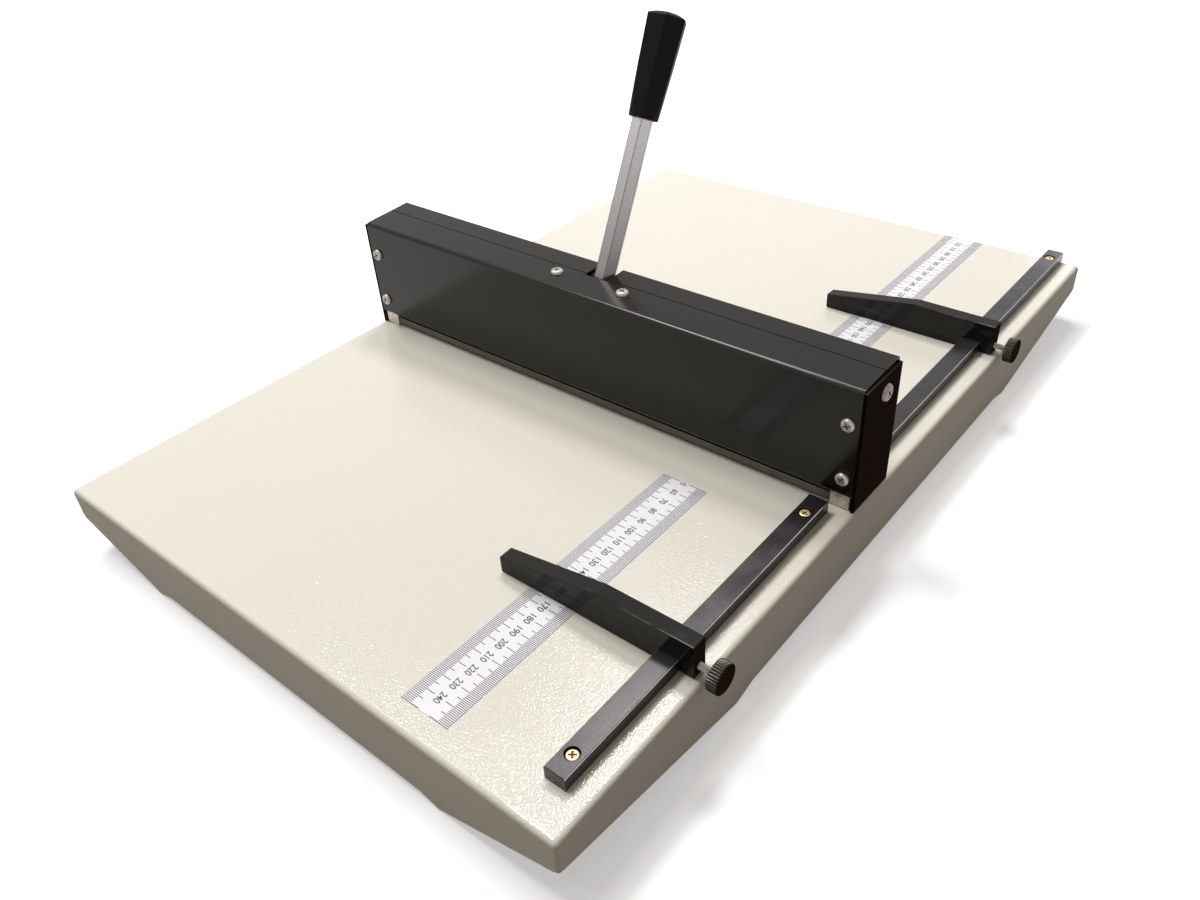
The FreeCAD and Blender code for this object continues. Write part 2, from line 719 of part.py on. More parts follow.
def build_grip(pivot, lean, spigot):
    # a turned cone with a shallow dome on top, cut by six flats that lean outwards: low
    # down little of the flats is left, and near the top only they are
    grip = new_body("lever_grip", 0, 0, pivot, lean)
    low, high = size["grip_start"], size["grip_end"]
    rise = size["grip_dome"]
    crown = high + rise
    corner = size["grip_flats_high"] / math.sqrt(3)
    cone_top = size["grip_round_low"] + size["grip_round_slope"] * (high - low)
    # the dome is turned in two bands, each falling by the square of its radius
    dome = [(corner * share, crown - rise * (share * share)) for share in (1, 0.5)]
    turn(grip, "Revolution",
         [(0, low), (size["grip_round_low"], low), (cone_top, high)] + dome + [(0, crown)])

    beyond = 20
    widening = (size["grip_flats_high"] - size["grip_flats_low"]) / (high - low) / 2
    flat_low = size["grip_flats_low"] / 2
    flat_crown = flat_low + widening * (crown - low)
    flat = cut(grip, "X", [[
        (flat_low, low), (flat_crown, crown), (beyond, crown), (beyond, low),
    ]], -beyond, beyond)
    flats = grip.newObject("PartDesign::PolarPattern", "lever_grip_flats")
    flats.Originals = [flat]
    flats.Axis = (origin_item(grip, "Z_Axis"), [""])
    flats.Angle = 360
    flats.Occurrences = 6
    grip.Tip = flats
    cut(grip, "Z", [circle(0, 0, spigot)], low, low + size["spigot_length"])


# rails, stops, clamps and rulers


def build_rails():
    for name, near_end, far_end, places in (
        ("front", -size["front_rail_far"], -size["front_rail_near"], front_rail_screws),
        ("rear", size["rear_rail_near"], size["rear_rail_far"], rear_rail_screws),
    ):
        rail = new_body(f"{name}_rail")
        top = size["rail_height"]
        add(rail, "Y", [rectangle(rail_inside, rail_outside, 0, top)], near_end, far_end)
        soften(rail, "Chamfer", bar_edge, lambda point: near(point.z, top))
        cut(rail, "Z", [circle(size["rail_middle"], y, rail_screw["thread"] + clearance)
                        for y in places], 0, top)
        cut(rail, "Z", [circle(size["rail_middle"], y, rail_counterbore) for y in places],
            rail_screw_seat, top)
    places = [(size["rail_middle"], y) for y in front_rail_screws + rear_rail_screws]
    screws(new_body("rail_screws"), "Z", places, rail_screw_seat, 1, rail_screw)


def build_stop(name, place):
    arm = new_body(f"{name}_stop_arm", 0, place)
    half = size["arm_thickness"] / 2
    low = size["arm_clearance"]
    notch_top = size["rail_height"] + size["rail_clearance"]
    notch_inside = rail_inside - size["rail_clearance"]
    add(arm, "Y", [[
        (size["arm_tip"], low), (notch_inside, low), (notch_inside, notch_top),
        (stud_start, notch_top), (stud_start, low), (size["arm_end"], low),
        (size["arm_end"], size["arm_height"]), (size["arm_kink"], size["arm_height"]),
        (size["arm_tip"], size["arm_tip_height"]),
    ]], -half, half)
    soften(arm, "Chamfer", bar_edge, lambda point: (
        near(abs(point.y), half) and point.z > size["arm_tip_height"].number - 0.1
    ))
    height = size["clamp_height"]
    bore = size["clamp_diameter"] + 2 * size["guide_play"]
    cut(arm, "X", [circle(0, height, bore)], stud_start, size["arm_end"])

    stud = new_body(f"{name}_clamp_stud", 0, place, height)
    add(stud, "X", [circle(0, 0, size["clamp_diameter"])], stud_start, stud_end)

    knob = new_body(f"{name}_clamp_knob", 0, place, height)
    radius = size["knob_diameter"] / 2
    add(knob, "X", [circle(0, 0, size["knob_diameter"])], size["knob_start"], knob_end)
    depth = size["knob_groove_depth"]
    groove = cut(knob, "X", [[
        (-depth, radius), (0, radius - depth), (depth, radius),
    ]], size["knob_start"], knob_end)
    pattern = knob.newObject("PartDesign::PolarPattern", f"{name}_clamp_knob_grooves")
    pattern.Originals = [groove]
    pattern.Axis = (origin_item(knob, "X_Axis"), [""])
    pattern.Angle = 360
    bind(pattern, "Occurrences", size["knob_grooves"])
    knob.Tip = pattern
    cut(knob, "X", [circle(0, 0, size["clamp_diameter"])], size["knob_start"], stud_end)


def build_rulers():
    half = size["ruler_width"] / 2
    for name, middle, start, end in (
        ("front", size["front_ruler_middle"], -size["front_ruler_far"], -size["ruler_near"]),
        ("rear", size["rear_ruler_middle"], size["ruler_near"], size["rear_ruler_far"]),
    ):
        ruler = new_body(f"{name}_ruler")
        add(ruler, "Z", [rectangle(middle - half, middle + half, start, end)],
            0, size["ruler_thickness"])


build_table()
build_feet()
build_bed()
for side, name in ((-1, "left"), (1, "right")):
    build_post(side, name)
    build_spring(side, name)
build_post_fittings()
build_bridge()
build_covers()
build_press()
build_lever()
build_rails()
build_stop("front", -size["front_stop_place"])
build_stop("rear", size["rear_stop_place"])
build_rulers()
doc.recompute()

# every object must be sound, and every cut must take something away
problems = []
for item in doc.Objects:
    if "Invalid" in item.State or "Error" in item.State:
        problems.append(f"{item.Name} failed")
    if item.TypeId in ("PartDesign::Pocket", "PartDesign::Groove"):
        before = item.BaseFeature.Shape.Volume
        if item.Shape.Volume > before - 1e-6:
            problems.append(f"{item.Name} cuts nothing")
bodies = [item for item in doc.Objects if item.TypeId == "PartDesign::Body"]
for body in bodies:
    if body.Shape.isNull() or not body.Shape.isValid():
        problems.append(f"{body.Label} has no valid shape")
if problems:
    raise SystemExit("\n".join(problems))

for body in bodies:
    body.Shape.exportStep(f"parts/{body.Label}.step")
print(f"{len(bodies)} bodies written")
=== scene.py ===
import bmesh
import bpy
import json
import math
import numpy as np
from mathutils import Matrix, Vector


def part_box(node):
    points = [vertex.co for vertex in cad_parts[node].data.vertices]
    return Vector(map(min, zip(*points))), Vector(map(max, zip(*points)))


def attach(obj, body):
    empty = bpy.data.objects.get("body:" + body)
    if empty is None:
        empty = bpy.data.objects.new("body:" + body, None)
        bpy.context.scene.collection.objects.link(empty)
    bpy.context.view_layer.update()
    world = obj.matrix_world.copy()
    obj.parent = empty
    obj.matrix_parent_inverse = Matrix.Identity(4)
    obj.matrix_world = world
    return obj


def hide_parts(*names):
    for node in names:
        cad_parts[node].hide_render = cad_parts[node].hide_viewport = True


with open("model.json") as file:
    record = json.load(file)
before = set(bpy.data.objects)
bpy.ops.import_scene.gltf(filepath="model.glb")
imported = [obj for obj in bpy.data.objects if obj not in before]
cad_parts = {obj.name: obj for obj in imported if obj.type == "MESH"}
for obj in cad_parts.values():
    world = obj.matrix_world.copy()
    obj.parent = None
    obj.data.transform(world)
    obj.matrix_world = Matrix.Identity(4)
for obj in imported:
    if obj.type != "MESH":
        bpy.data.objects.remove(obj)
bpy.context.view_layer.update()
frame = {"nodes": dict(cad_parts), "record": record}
print("frame loaded:", len(frame["nodes"]), "nodes")

mm = 0.001
mergeDistance = 1e-7
bladeLow, bladeHigh = (np.array(corner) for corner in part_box("creasing_blade"))
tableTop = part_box("base_table")[1][2]
crease = np.array([(bladeLow[0] + bladeHigh[0]) / 2, (bladeLow[1] + bladeHigh[1]) / 2, tableTop])

# places that several pieces share, in millimetres from the middle of the crease line
railMiddle = 173.4
stopPlaces = {"front": -159, "rear": 179.5}
leverLean = 26.9  # degrees from upright at rest


def at(x, y, z):
    # a place given in millimetres from the middle of the crease line, at the table's top
    return crease + np.array([x, y, z]) * mm


def gridFaces(rows, columns):
    # quads between neighbouring rows and columns, with the last column joined to the first
    down = np.arange(rows - 1)[:, None] * columns
    across = np.arange(columns)[None, :]
    beside = (across + 1) % columns
    corners = (down + across, down + beside, down + columns + beside, down + columns + across)
    return np.stack(np.broadcast_arrays(*corners), axis=-1).reshape(-1, 4)


def softStep(value, width):
    # 0 below -width/2, 1 above width/2, and a straight ramp between
    return np.clip(value / width + 0.5, 0, 1)


def turned(profile, columns, radiusAt=None):
    # a profile of (radius, height) pairs carried round the Z axis:
    # x = r cos a, y = r sin a, z = height, where radiusAt(r, height, a) may change r
    radius, height = (part[:, None] for part in np.array(profile, dtype=float).T)
    angle = np.linspace(0, 2 * math.pi, columns, endpoint=False)[None, :]
    radius, height, angle = np.broadcast_arrays(radius, height, angle)
    if radiusAt:
        radius = radiusAt(radius, height, angle)
    return np.stack([radius * np.cos(angle), radius * np.sin(angle), height], axis=-1)


def stood(points, origin, up, side):
    # local points to the frame: local Z along up, local X along side, millimetres to metres
    up = np.array(up, dtype=float) / np.linalg.norm(up)
    side = np.array(side, dtype=float) - up * np.dot(side, up)
    side /= np.linalg.norm(side)
    axes = np.stack([side, np.cross(up, side), up])
    return origin + (points * mm) @ axes


def cleanMesh(work, mesh):
    # merged doubles close the poles, then all faces are turned outwards
    bmesh.ops.remove_doubles(work, verts=work.verts, dist=mergeDistance)
    bmesh.ops.recalc_face_normals(work, faces=work.faces)
    work.to_mesh(mesh)
    work.free()


def addPiece(name, mesh, body, finish, replaced=()):
    mesh.materials.append(finish["material"])
    piece = bpy.data.objects.new(name, mesh)
    bpy.context.scene.collection.objects.link(piece)
    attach(piece, body)
    if replaced:
        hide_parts(*replaced)


def makeSurface(name, vertices, faces, body, finish, sharpAngle=35, replaced=(), recess=None):
    # one smooth-shaded piece; recess holds a number for each point, for painted shade in hollows
    mesh = bpy.data.meshes.new(name)
    mesh.from_pydata(vertices.tolist(), [], faces.tolist())
    if recess is not None:
        mesh.attributes.new("recess", "FLOAT", "POINT").data.foreach_set("value", recess)
    work = bmesh.new()
    work.from_mesh(mesh)
    cleanMesh(work, mesh)
    mesh.shade_smooth()
    mesh.set_sharp_from_angle(angle=math.radians(sharpAngle))
    addPiece(name, mesh, body, finish, replaced)


def makeTurned(name, grids, body, finish, sharpAngle, replaced, recess=None):
    # one piece from several grids of points, each closed at both of its ends
    vertices, faces, start = [], [], 0
    for points in grids:
        rows, columns = points.shape[:2]
        vertices.append(points.reshape(-1, 3))
        faces.append(gridFaces(rows, columns) + start)
        start += rows * columns
    makeSurface(name, np.concatenate(vertices), np.concatenate(faces), body, finish,
                sharpAngle, replaced, recess)


class Wire:
    # one output of a shader tree; the operators on it add Math nodes

    def __init__(self, shader, socket):
        self.shader = shader
        self.socket = socket

    def math(self, operation, first, second=0.0):
        return self.shader.add("ShaderNodeMath", {"operation": operation}, {0: first, 1: second})

    def __add__(self, other):
        return self.math("ADD", self, other)

    def __radd__(self, other):
        return self.math("ADD", other, self)

    def __sub__(self, other):
        return self.math("SUBTRACT", self, other)

    def __rsub__(self, other):
        return self.math("SUBTRACT", other, self)

    def __mul__(self, other):
        return self.math("MULTIPLY", self, other)

    def __rmul__(self, other):
        return self.math("MULTIPLY", other, self)

    def size(self):
        return self.math("ABSOLUTE", self)

    def least(self, other):
        return self.math("MINIMUM", self, other)

    def above(self, level, width):
        # 0 to 1 over a band of that width round the level
        return self.math("MAXIMUM", (self - level) * (1 / width) + 0.5, 0).least(1)

    def around(self, span):
        # a noise as plus or minus half of the span
        return (self - 0.5) * span


class Shader:
    # a node tree with the one method that adds any node to it

    def __init__(self, tree):
        self.tree = tree

    def add(self, kind, settings=None, sockets=None, output=0):
        node = self.tree.nodes.new(kind)
        for setting, value in (settings or {}).items():
            setattr(node, setting, value)
        self.fill(node, sockets or {})
        return Wire(self, node.outputs[output])

    def fill(self, node, sockets):
        for key, value in sockets.items():
            if isinstance(value, Wire):
                self.tree.links.new(value.socket, node.inputs[key])
            else:
                node.inputs[key].default_value = value

    def place(self, stretch, turn):
        # object coordinates, turned (degrees about X, Y, Z) and stretched
        coordinates = self.add("ShaderNodeTexCoord", output="Object")
        return self.add("ShaderNodeMapping", None, {
            "Vector": coordinates, "Scale": stretch,
            "Rotation": [math.radians(angle) for angle in turn],
        })

    def attribute(self, name):
        # a number that the mesh carries at its points
        return self.add("ShaderNodeAttribute", {"attribute_name": name}, output="Fac")

    def along(self, axis):
        # object coordinate along one axis, in millimetres from the middle of the crease
        parts = self.add("ShaderNodeSeparateXYZ", None, {
            "Vector": self.add("ShaderNodeTexCoord", output="Object")}, output=axis)
        return (parts - float(crease["XYZ".index(axis)])) * (1 / mm)

    def noise(self, scale, detail, stretch=(1, 1, 1), turn=(0, 0, 0)):
        return self.add("ShaderNodeTexNoise", None, {
            "Vector": self.place(stretch, turn), "Scale": scale, "Detail": detail,
        })

    def mix(self, factor, first, second):
        # a colour between two, each given as three numbers or a wire
        first, second = ((*c, 1) if isinstance(c, tuple) else c for c in (first, second))
        return self.add("ShaderNodeMix", {"data_type": "RGBA"},
                        {0: factor, 6: first, 7: second}, output=2)

    def rounded(self, radius):
        # a normal that turns smoothly over every sharp edge, over that many millimetres
        return self.add("ShaderNodeBevel", {"samples": 4}, {"Radius": radius * mm})

    def corner(self, radius):
        # 0 on a flat face, rising over that many millimetres towards a sharp edge
        flat = self.add("ShaderNodeNewGeometry", output="True Normal")
        return 1 - self.add("ShaderNodeVectorMath", {"operation": "DOT_PRODUCT"},
                            {0: self.rounded(radius), 1: flat}, output="Value")

    def bump(self, height, depth, edge=None):
        # a height of 1 stands that many millimetres out; edge rounds the sharp edges as well
        sockets = {"Height": height, "Distance": depth * mm}
        if edge:
            sockets["Normal"] = self.rounded(edge)
        return self.add("ShaderNodeBump", None, sockets)


def newFinish(name, build, slotName=None):
    # a material for one of the record's slots; build(shader) gives the surface's sockets
    material = bpy.data.materials.new(name)
    material.use_nodes = True
    shader = Shader(material.node_tree)
    shader.fill(material.node_tree.nodes["Principled BSDF"], build(shader))
    return {"material": material, "slot": slotName or name}


# in the finishes below a noise is its scale, its detail and, where it has one, its stretch,
# and a scale of 1000 / s gives grains s millimetres across; a mask, as in seamFrom, is the
# level where it is half and the width of its edge; lengths and depths are in millimetres

tablePaint = {"pale": (0.80, 0.775, 0.68), "warm": (0.775, 0.75, 0.65), "cloud": (9.0, 3.0),
              "pebbles": (1000 / 1.2, 1.0), "pits": (1000 / 0.65, 2.0), "pitShare": 0.25,
              "depth": 0.164, "roughness": 0.1, "span": 0.1, "skirtRoughness": 0.75,
              "topFrom": (-0.012, 0.02), "rightFrom": (172, 20), "behindFrom": (-150, 20),
              "cornerDrop": 0.3}


def buildTablePaint(shader):
    # textured powder coat: rounded pebbles with finer pits on them
    pebbles = shader.noise(*tablePaint["pebbles"])
    pits = shader.noise(*tablePaint["pits"])
    cloud = shader.noise(*tablePaint["cloud"])
    # glossy on the flat top, and over the bends only at the right front corner
    corner = (shader.along("X").above(*tablePaint["rightFrom"])
              * (1 - shader.along("Y").above(*tablePaint["behindFrom"])))
    top = (shader.along("Z") + corner * tablePaint["cornerDrop"]).above(*tablePaint["topFrom"])
    matt = tablePaint["skirtRoughness"] - tablePaint["roughness"]
    return {
        "Base Color": shader.mix(cloud, tablePaint["pale"], tablePaint["warm"]),
        "Roughness": tablePaint["skirtRoughness"] - top * matt + pits.around(tablePaint["span"]),
        "Normal": shader.bump(pebbles + pits * tablePaint["pitShare"], tablePaint["depth"]),
    }


headPaint = {"black": (0.0085, 0.0064, 0.0042), "wearAndHighlight": (0.0125, 0.0098, 0.007),
             "smears": (28.0, 4.0, (1, 2.5, 2.5)), "waves": (1000 / 2.4, 1.0), "depth": 0.024,
             "roughness": 0.17, "span": 0.16, "edge": 0.12, "coat": 0.6, "seamMiddle": 3.8,
             "seamFrom": (0.3, 0.1), "seamUpFrom": (70, 0.1)}


def buildHeadPaint(shader):
    # a nearly flat gloss black, with painted shade as a dark line where the two covers meet
    smears = shader.noise(*headPaint["smears"])
    # painted shade: the coat is left off a narrow band along the seam on top, so the gap reads
    # dark
    fromSeam = (shader.along("Y") - headPaint["seamMiddle"]).size()
    seamShade = ((1 - fromSeam.above(*headPaint["seamFrom"]))
            * shader.along("Z").above(*headPaint["seamUpFrom"]))
    return {
        "Base Color": shader.mix(smears, headPaint["black"], headPaint["wearAndHighlight"]),
        "Roughness": headPaint["roughness"] + smears.around(headPaint["span"]),
        "Normal": shader.bump(shader.noise(*headPaint["waves"]), headPaint["depth"],
                              headPaint["edge"]),
        "Specular IOR Level": 0.0,
        "Coat Weight": (1 - seamShade) * headPaint["coat"],
        "Coat Roughness": headPaint["roughness"],
    }


platePaint = {"black": (0.046, 0.03, 0.024), "wearAndHighlight": (0.06, 0.04, 0.032),
              "front": (0.008, 0.007, 0.006), "behindFrom": (-19.3, 0.2), "smears": (40.0, 4.0),
              "roughness": 0.5, "span": 0.16, "depth": 0.01, "edge": 0.3}


def buildPlatePaint(shader):
    # the end plates' flatter black, a little browner than the covers', with painted shade making
    # its front edge nearly black
    smears = shader.noise(*platePaint["smears"])
    # painted shade: the front edge, which the lamps light, is coloured nearly black
    behindShadedFront = shader.along("Y").above(*platePaint["behindFrom"])
    side = shader.mix(smears, platePaint["black"], platePaint["wearAndHighlight"])
    return {
        "Base Color": shader.mix(behindShadedFront, platePaint["front"], side),
        "Roughness": platePaint["roughness"] + smears.around(platePaint["span"]),
        "Normal": shader.bump(smears, platePaint["depth"], platePaint["edge"]),
        "Specular IOR Level": 0.0,
    }


stopPaint = {"black": (0.012, 0.011, 0.0095), "rubbed": (0.05, 0.05, 0.048),
             "wearAndHighlight": (0.3, 0.29, 0.28), "end": (0.05, 0.036, 0.029), "film": (60.0, 4.0),
             "scratches": (240.0, 3.0, (0.2, 1, 1)), "rubbedFrom": (0.68, 0.1),
             "rubbedShare": 0.5, "shadedEndFrom": (187.5, 0.1), "edgeFrom": (4.15, 0.15),
             "upFrom": (20.5, 0.1), "railEndFrom": (160, 40), "patchFrom": (0.45, 0.2),
             "roughness": 0.5, "span": 0.1, "depth": 0.01, "edge": 0.2, "coat": 0.44,
             "coatSpan": 0.12, "coatRoughness": 0.1}


def buildStopPaint(shader):
    # gloss black, rubbed in fine scratches, lighter in patches along the top edges near the rail,
    # and matt on the end face, whose dark brown is painted shade
    film = shader.noise(*stopPaint["film"])
    rubbed = shader.noise(*stopPaint["scratches"]).above(*stopPaint["rubbedFrom"])
    along = shader.along("X")
    # painted shade: the end face, which looks away from the lamps, gets its own dark brown in
    # place of the arm's black
    end = along.above(*stopPaint["shadedEndFrom"])
    front, rear = ((shader.along("Y") - place).size() for place in stopPlaces.values())
    # lighter in patches along the top edges near the rail end
    wearAndHighlight = (front.least(rear).above(*stopPaint["edgeFrom"])
            * shader.along("Z").above(*stopPaint["upFrom"])
            * along.above(*stopPaint["railEndFrom"]) * film.above(*stopPaint["patchFrom"]))
    black = shader.mix(rubbed * stopPaint["rubbedShare"], stopPaint["black"],
                       stopPaint["rubbed"])
    face = shader.mix(wearAndHighlight, black, stopPaint["wearAndHighlight"])
    return {
        "Base Color": shader.mix(end, face, stopPaint["end"]),
        "Roughness": stopPaint["roughness"] + film.around(stopPaint["span"]),
        "Normal": shader.bump(film, stopPaint["depth"], stopPaint["edge"]),
        "Specular IOR Level": 0.0,
        "Coat Weight": (1 - end) * (stopPaint["coat"] + film.around(stopPaint["coatSpan"])),
        "Coat Roughness": stopPaint["coatRoughness"],
    }


gripPlastic = {"black": (0.009, 0.0082, 0.0075), "dusty": (0.015, 0.014, 0.013),
               "grain": (900.0, 3.0), "dust": (70.0, 5.0), "roughness": 0.42, "span": 0.2,
               "depth": 0.02, "coat": 0.16, "coatRoughness": 0.2}
knobPlastic = {**gripPlastic, "black": (0.042, 0.031, 0.024), "dusty": (0.056, 0.042, 0.034),
               "roughness": 0.5, "coat": 0.7, "coatRoughness": 0.22, "mattFrom": (201.3, 0.3)}


def buildPlastic(plastic):
    # grained black plastic; a knob is glossy on its ridges and matt on its flat face
    def build(shader):
        grain = shader.noise(*plastic["grain"])
        coat = plastic["coat"]
        if "mattFrom" in plastic:
            coat = (1 - shader.along("X").above(*plastic["mattFrom"])) * coat
        return {
            "Base Color": shader.mix(shader.noise(*plastic["dust"]), plastic["black"],
                                     plastic["dusty"]),
            "Roughness": plastic["roughness"] + grain.around(plastic["span"]),
            "Normal": shader.bump(grain, plastic["depth"]),
            "Specular IOR Level": 0.0,
            "Coat Weight": coat,
            "Coat Roughness": plastic["coatRoughness"],
        }
    return build


railCoat = {"grey": (0.034, 0.031, 0.032), "light": (0.07, 0.065, 0.067),
            "wearAndHighlight": (0.8, 0.74, 0.74), "lines": (1400.0, 3.0, (1, 0.04, 1)),
            "patches": (60.0, 5.0), "edgeFrom": (5.6, 0.15), "upFrom": (7.3, 0.1),
            "patchFrom": (0.3, 0.3), "metallic": 0.65, "specular": 0.35, "roughness": 0.25,
            "lineSpan": 0.12, "patchSpan": 0.2, "depth": 0.008, "edge": 0.15}


def buildRailCoat(shader):
    # drawn bar: long fine lines along the rail under a grey coat, with a painted highlight as
    # broken light lines on its top edges
    lines = shader.noise(*railCoat["lines"])
    patches = shader.noise(*railCoat["patches"])
    # painted highlight: a pale colour over the outer edges of the rail's top, for light caught by
    # its chamfers
    wearAndHighlight = ((shader.along("X") - railMiddle).size().above(*railCoat["edgeFrom"])
            * shader.along("Z").above(*railCoat["upFrom"])
            * patches.above(*railCoat["patchFrom"]))
    grey = shader.mix(patches, railCoat["grey"], railCoat["light"])
    return {
        "Base Color": shader.mix(wearAndHighlight, grey, railCoat["wearAndHighlight"]),
        "Metallic": railCoat["metallic"],
        "Specular IOR Level": railCoat["specular"],
        "Roughness": (railCoat["roughness"] + lines.around(railCoat["lineSpan"])
                      + patches.around(railCoat["patchSpan"])),
        "Normal": shader.bump(lines, railCoat["depth"], railCoat["edge"]),
    }


plating = {"pale": (0.77, 0.73, 0.635), "stained": (0.45, 0.39, 0.31), "stains": (260.0, 5.0),
           "stainFrom": (0.58, 0.16), "grain": (1200.0, 2.0), "metallic": 0.35,
           "roughness": 0.42, "span": 0.2, "depth": 0.01, "edge": 0.3}


def buildPlating(shader):
    # dull plating with brown stains
    stains = shader.noise(*plating["stains"]).above(*plating["stainFrom"])
    grain = shader.noise(*plating["grain"])
    return {
        "Base Color": shader.mix(stains, plating["pale"], plating["stained"]),
        "Metallic": plating["metallic"],
        "Roughness": plating["roughness"] + grain.around(plating["span"]),
        "Normal": shader.bump(grain, plating["depth"], plating["edge"]),
    }


rodSteel = {"pale": (0.56, 0.53, 0.53), "dark": (0.2, 0.187, 0.187), "line": (0.05, 0.046, 0.046),
            "lines": (1500.0, 3.0, (1, 1, 0.03)), "specks": (900.0, 3.0), "unshadedFrom": (120, 90),
            "unshadedShare": 0.8, "speckShare": 0.4, "darker": 0.1, "corner": 1.2,
            "cornerFrom": (0.01, 0.01), "speckFrom": (0.4, 0.1), "lineShare": 0.85,
            "roughness": 0.34, "span": 0.25, "depth": 0.02, "edge": 0.3}


def buildRodSteel(shader):
    # drawn hexagon bar, with painted shade that makes it darker towards its foot and a painted
    # reflection as broken dark lines along its corners
    lines = shader.noise(*rodSteel["lines"], (leverLean, 0, 0))
    specks = shader.noise(*rodSteel["specks"])
    # painted shade: the base colour is brighter up the rod and darker towards its foot
    unshaded = shader.along("Z").above(*rodSteel["unshadedFrom"])
    # painted reflection: broken dark lines along the hexagon's corners
    corner = (shader.corner(rodSteel["corner"]).above(*rodSteel["cornerFrom"])
              * specks.above(*rodSteel["speckFrom"]))
    bright = (unshaded * rodSteel["unshadedShare"] + specks * rodSteel["speckShare"]
              - rodSteel["darker"])
    face = shader.mix(bright, rodSteel["dark"], rodSteel["pale"])
    return {
        "Base Color": shader.mix(corner * rodSteel["lineShare"], face, rodSteel["line"]),
        "Metallic": 1.0,
        "Roughness": rodSteel["roughness"] + lines.around(rodSteel["span"]),
        "Normal": shader.bump(lines, rodSteel["depth"], rodSteel["edge"]),
    }


rulerStrip = {"white": (0.90, 0.89, 0.92), "grey": (0.84, 0.83, 0.865), "wear": (22.0, 4.0),
              "paper": (500.0, 2.0), "roughness": 0.3, "span": 0.1, "depth": 0.006}


def buildRulerStrip(shader):
    # a smooth white strip, greyer in patches
    paper = shader.noise(*rulerStrip["paper"])
    return {
        "Base Color": shader.mix(shader.noise(*rulerStrip["wear"]), rulerStrip["white"],
                                 rulerStrip["grey"]),
        "Roughness": rulerStrip["roughness"] + paper.around(rulerStrip["span"]),
        "Normal": shader.bump(paper, rulerStrip["depth"]),
    }


rulerInk = {"black": (0.008, 0.007, 0.009), "faded": (0.03, 0.026, 0.033), "fade": (120.0, 3.0),
            "roughness": 0.45, "span": 0.1}


def buildRulerInk(shader):
    fade = shader.noise(*rulerInk["fade"])
    return {
        "Base Color": shader.mix(fade, rulerInk["black"], rulerInk["faded"]),
        "Roughness": rulerInk["roughness"] + fade.around(rulerInk["span"]),
    }


# bright and dull are the two colours of a bare metal, and painted shade darkens a screw's recess
plainMetal = {"lines": (900.0, 3.0), "patches": (90.0, 4.0), "recessShade": (0.03, 0.024, 0.02),
              "span": 0.22, "depth": 0.01, "edge": 0.3}
metals = {
    "machined_steel": {"bright": (0.62, 0.60, 0.56), "dull": (0.48, 0.465, 0.44),
                       "roughness": 0.36, "lines": (1200.0, 3.0, (0.03, 1, 1))},
    "tool_steel": {"bright": (0.36, 0.36, 0.36), "dull": (0.28, 0.28, 0.285),
                   "roughness": 0.26, "lines": (1600.0, 3.0, (0.02, 1, 1))},
    "galvanised_steel": {"bright": (0.56, 0.57, 0.58), "dull": (0.44, 0.45, 0.46),
                         "roughness": 0.42, "lines": (160.0, 3.0)},
    "zinc_screws": {"bright": (0.5, 0.475, 0.435), "dull": (0.25, 0.235, 0.215),
                    "roughness": 0.46, "patches": (400.0, 4.0), "recessShade": (0.1, 0.09, 0.075)},
    "blackened_steel": {"bright": (0.15, 0.147, 0.13), "dull": (0.09, 0.088, 0.078),
                        "roughness": 0.42, "lines": (900.0, 3.0, (0.03, 1, 1))},
    "black_screws": {"bright": (0.06, 0.06, 0.06), "dull": (0.04, 0.04, 0.04),
                     "roughness": 0.4},
    "brass_screws": {"bright": (0.9, 0.74, 0.42), "dull": (0.7, 0.52, 0.27),
                     "roughness": 0.5, "patches": (300.0, 4.0), "recessShade": (0.2, 0.09, 0.035)},
    "bronze": {"bright": (0.55, 0.38, 0.2), "dull": (0.44, 0.3, 0.16),
               "roughness": 0.38, "lines": (700.0, 3.0, (0.1, 1, 1))},
}
plateScrewMetal = {"bright": (0.32, 0.285, 0.26), "dull": (0.15, 0.13, 0.12),
                   "roughness": 0.5, "patches": (400.0, 4.0)}


def buildMetal(values):
    # bare metal with fine lines along its stretch, duller patches and painted shade in its
    # recesses
    metal = {**plainMetal, **values}

    def build(shader):
        lines = shader.noise(*metal["lines"])
        unshaded = shader.mix(shader.noise(*metal["patches"]), metal["bright"], metal["dull"])
        return {
            # painted shade: the base colour goes dark in the screw's recess
            "Base Color": shader.mix(shader.attribute("recess"), unshaded, metal["recessShade"]),
            "Metallic": 1.0,
            "Roughness": metal["roughness"] + lines.around(metal["span"]),
            "Normal": shader.bump(lines, metal["depth"], metal["edge"]),
        }
    return build


softSkins = {
    "rubber": {"dark": (0.018, 0.018, 0.018), "light": (0.032, 0.031, 0.03),
               "cloud": (60.0, 3.0), "grain": (1400.0, 3.0), "roughness": 0.75, "span": 0.15,
               "depth": 0.03},
    "polyurethane": {"dark": (0.52, 0.17, 0.045), "light": (0.6, 0.22, 0.06),
                     "cloud": (60.0, 3.0), "grain": (700.0, 3.0), "roughness": 0.5,
                     "span": 0.15, "depth": 0.01},
}


def buildSoft(skin):
    # rubber and polyurethane: a matt skin with a fine grain
    def build(shader):
        grain = shader.noise(*skin["grain"])
        return {
            "Base Color": shader.mix(shader.noise(*skin["cloud"]), skin["dark"], skin["light"]),
            "Roughness": skin["roughness"] + grain.around(skin["span"]),
            "Normal": shader.bump(grain, skin["depth"]),
        }
    return build


